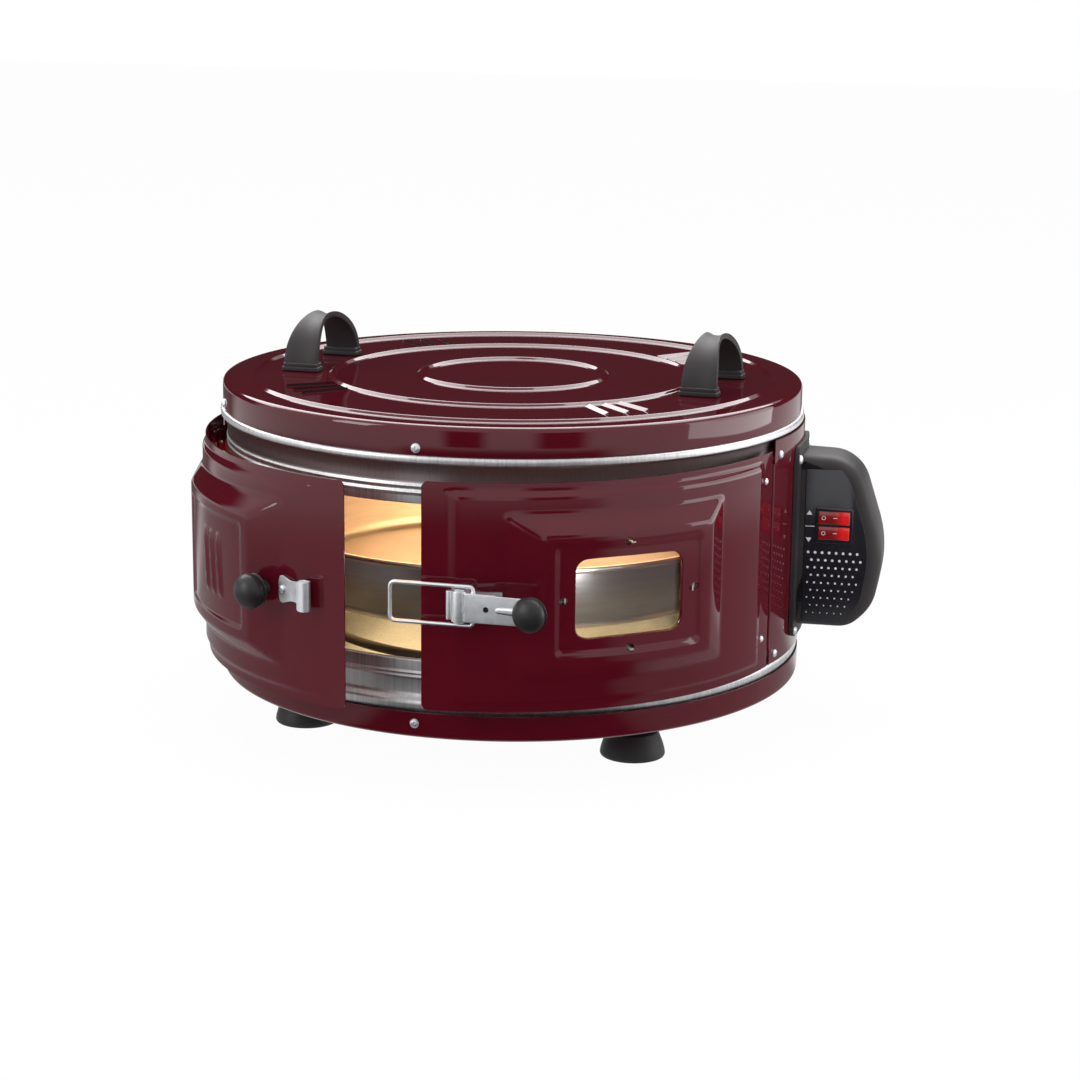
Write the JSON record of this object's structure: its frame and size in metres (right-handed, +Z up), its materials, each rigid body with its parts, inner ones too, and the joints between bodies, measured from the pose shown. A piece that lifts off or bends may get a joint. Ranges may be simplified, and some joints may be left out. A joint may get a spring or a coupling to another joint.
{
  "type": "electric drum oven",
  "caption": "Round tabletop drum oven with two curved hinged doors, a latch, a lid with carrying handles, heating elements, a baking tray and a side control box.",
  "frame": {"origin": "on the drum's axis, at the height the feet stand on", "axes": "+Z up, -Y to the front where the doors meet, +X towards the control box"},
  "size_m": [0.5121, 0.4924, 0.2973],
  "materials": {
    "enamel": "gloss maroon enamel",
    "black_plastic": "satin",
    "black_gloss": "gloss",
    "red_rocker": "gloss, translucent",
    "galvanised": "galvanised, fine grain",
    "zinc": "bright zinc plate",
    "dark_steel": "oxidised heater sheath",
    "tray_metal": "satin",
    "rubber": "matt",
    "ceramic": "matt",
    "glass": "clear"
  },
  "bodies": {
    "body": {"base_pan": "enamel", "base_screws": "zinc", "ceiling_plate": "galvanised", "control_box": "black_plastic", "control_box_screws": "zinc", "control_label": "black_gloss", "cord_gland": "black_plastic", "drum_wall": "galvanised", "floor_plate": "galvanised", "foot_screws": "zinc", "front_left_foot": "rubber", "front_right_foot": "rubber", "handle_screws": "zinc", "hinge_screws": "zinc", "left_handle": "black_plastic", "left_hinge_body_leaf": "enamel", "left_hinge_pin": "zinc", "lid_screws": "zinc", "lid_shell": "enamel", "lower_element": "dark_steel", "lower_element_clips": "zinc", "lower_element_terminals": "ceramic", "lower_ring": "galvanised", "rear_left_foot": "rubber", "rear_right_foot": "rubber", "right_handle": "black_plastic", "right_hinge_body_leaf": "enamel", "right_hinge_pin": "zinc", "side_wall": "enamel", "switch_housing": "black_gloss", "tray_stand": "dark_steel", "upper_element": "dark_steel", "upper_element_clips": "zinc", "upper_element_terminals": "ceramic", "upper_ring": "galvanised"},
    "right_door": {"latch_base": "zinc", "right_door_panel": "enamel", "right_door_rivets": "zinc", "right_hinge_door_leaf": "enamel", "window_glass": "glass", "window_glass_frame": "galvanised"},
    "left_door": {"left_door_catch": "zinc", "left_door_catch_screw": "zinc", "left_door_knob": "black_plastic", "left_door_knob_screw": "zinc", "left_door_panel": "enamel", "left_door_rivets": "zinc", "left_hinge_door_leaf": "enamel"},
    "lever": {"latch_lever": "zinc", "latch_knob": "black_plastic"},
    "bail": {"latch_bail": "zinc"},
    "upper_rocker_key": {"upper_rocker": "red_rocker"},
    "lower_rocker_key": {"lower_rocker": "red_rocker"},
    "tray": {"baking_tray": "tray_metal"}
  },
  "joints": [
    {"name": "right_door_hinge", "type": "hinge", "parent": "body", "child": "right_door", "pos_m": [0.21541, -0.05611, 0.143], "axis": [0, 0, 1], "range_deg": [-5, 105]},
    {"name": "left_door_hinge", "type": "hinge", "parent": "body", "child": "left_door", "pos_m": [-0.21541, -0.05611, 0.143], "axis": [0, 0, -1], "range_deg": [-10.5, 100]},
    {"name": "lever_pivot", "type": "hinge", "parent": "right_door", "child": "lever", "pos_m": [0.04117, -0.24745, 0.14], "axis": [0, 0, -1], "range_deg": [0, 140]},
    {"name": "bail_pivot", "type": "hinge", "parent": "lever", "child": "bail", "pos_m": [0.05056, -0.24726, 0.14], "axis": [0, 0, 1], "range_deg": [0, 140]},
    {"name": "upper_rocker_pivot", "type": "hinge", "parent": "body", "child": "upper_rocker_key", "pos_m": [0.25175, 0.00032, 0.1648], "axis": [0, 0, 1], "range_deg": [0, 16]},
    {"name": "lower_rocker_pivot", "type": "hinge", "parent": "body", "child": "lower_rocker_key", "pos_m": [0.25175, 0.00032, 0.1532], "axis": [0, 0, 1], "range_deg": [0, 16]},
    {"name": "tray_lift", "type": "slide", "parent": "body", "child": "tray", "axis": [0, 0, 1], "range_m": [0, 0.02]}
  ],
  "couplings": [
    {"joint": "bail_pivot", "follows": "lever_pivot", "ratio": 1}
  ]
}
